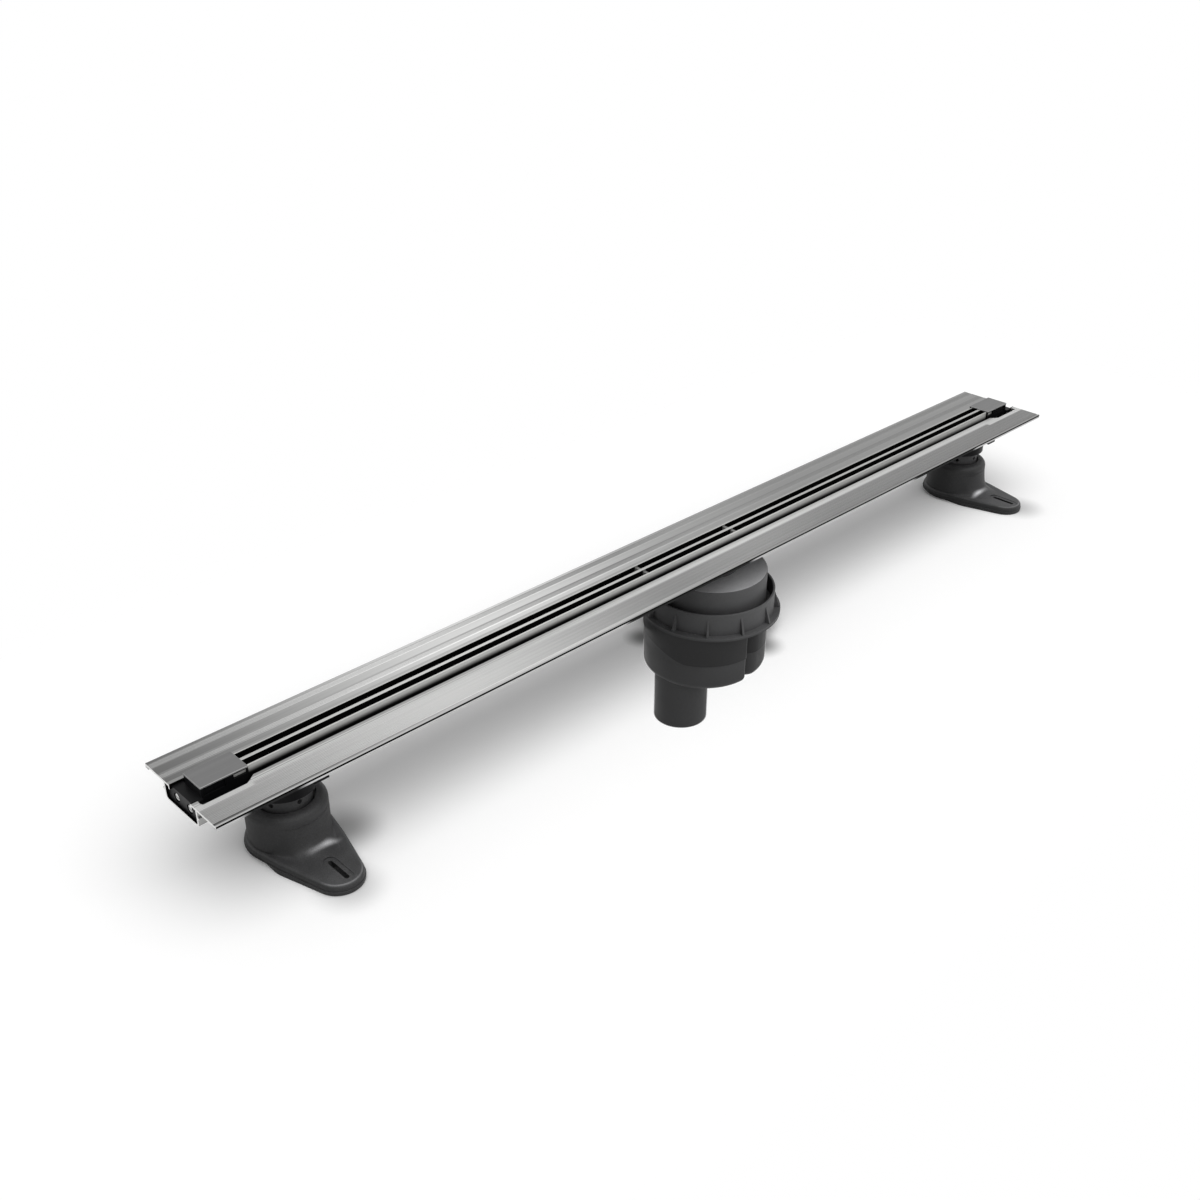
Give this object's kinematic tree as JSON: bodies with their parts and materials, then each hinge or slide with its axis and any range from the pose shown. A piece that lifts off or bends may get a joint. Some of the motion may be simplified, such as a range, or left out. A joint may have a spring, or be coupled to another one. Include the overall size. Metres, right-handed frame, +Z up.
{
  "type": "channel drain",
  "caption": "Slim flanged shower channel with a lift-out slotted insert, end blocks, height-adjustable feet in rubber boots and a water trap with a vertical outlet.",
  "frame": {"origin": "centre of the outlet spigot's lower end; the flange's top is 170 mm above it", "axes": "+X along the channel, +Y across it to the back (the boots' toes point to -Y), +Z up"},
  "size_m": [1, 0.1445, 0.176],
  "materials": {
    "profile_aluminium": "extruded, finely ribbed, natural anodised",
    "insert_steel": "drawn stainless, satin",
    "cover_steel": "satin grey plate",
    "stainless": "plain stainless",
    "black_plastic": "moulded, black, fine matt grain",
    "spindle_plastic": "moulded, dark grey",
    "inlet_plastic": "moulded, black",
    "trap_plastic": "moulded, dark grey, satin",
    "boot_rubber": "dark grey rubber with a fine grain",
    "seal_rubber": "black sealing rubber"
  },
  "bodies": {
    "channel": {"channel_profile": "profile_aluminium", "flange_seal_front": "seal_rubber", "flange_seal_back": "seal_rubber", "insert_rail_front": "insert_steel", "insert_rail_back": "insert_steel", "insert_centre_bar": "insert_steel", "insert_spacers": "insert_steel", "inlet_ring": "inlet_plastic", "inlet_gasket": "seal_rubber", "trap_housing": "trap_plastic", "housing_seal": "seal_rubber", "drain_body": "trap_plastic", "outlet_pipe": "trap_plastic", "dip_tube": "inlet_plastic", "dip_tube_seal": "seal_rubber", "hair_sieve": "stainless", "end_block_near": "black_plastic", "block_cover_near": "cover_steel", "end_cap_near": "black_plastic", "cap_screws_near": "stainless", "foot_bracket_near": "black_plastic", "end_block_far": "black_plastic", "block_cover_far": "cover_steel", "end_cap_far": "black_plastic", "cap_screws_far": "stainless", "foot_bracket_far": "black_plastic"},
    "near_spindle": {"foot_spindle_near": "spindle_plastic"},
    "near_sleeve": {"foot_sleeve_near": "spindle_plastic"},
    "near_boot": {"foot_boot_near": "boot_rubber"},
    "far_spindle": {"foot_spindle_far": "spindle_plastic"},
    "far_sleeve": {"foot_sleeve_far": "spindle_plastic"},
    "far_boot": {"foot_boot_far": "boot_rubber"}
  },
  "joints": [
    {"name": "near_spindle_turn", "type": "hinge", "parent": "channel", "child": "near_spindle", "pos_m": [-0.4152, 0, 0.14], "axis": [0, 0, 1], "range_deg": [0, 1800]},
    {"name": "near_foot_height", "type": "slide", "parent": "channel", "child": "near_sleeve", "axis": [0, 0, -1], "range_m": [0, 0.02]},
    {"name": "near_boot_swivel", "type": "hinge", "parent": "near_sleeve", "child": "near_boot", "pos_m": [-0.4152, 0, 0.11], "axis": [0, 0, 1], "continuous": true},
    {"name": "far_spindle_turn", "type": "hinge", "parent": "channel", "child": "far_spindle", "pos_m": [0.4328, 0, 0.14], "axis": [0, 0, 1], "range_deg": [0, 1800]},
    {"name": "far_foot_height", "type": "slide", "parent": "channel", "child": "far_sleeve", "axis": [0, 0, -1], "range_m": [0, 0.02]},
    {"name": "far_boot_swivel", "type": "hinge", "parent": "far_sleeve", "child": "far_boot", "pos_m": [0.4328, 0, 0.11], "axis": [0, 0, 1], "continuous": true}
  ],
  "couplings": [
    {"joint": "near_spindle_turn", "follows": "near_foot_height", "rad_per_m": 1570.8},
    {"joint": "far_spindle_turn", "follows": "far_foot_height", "rad_per_m": 1570.8}
  ]
}
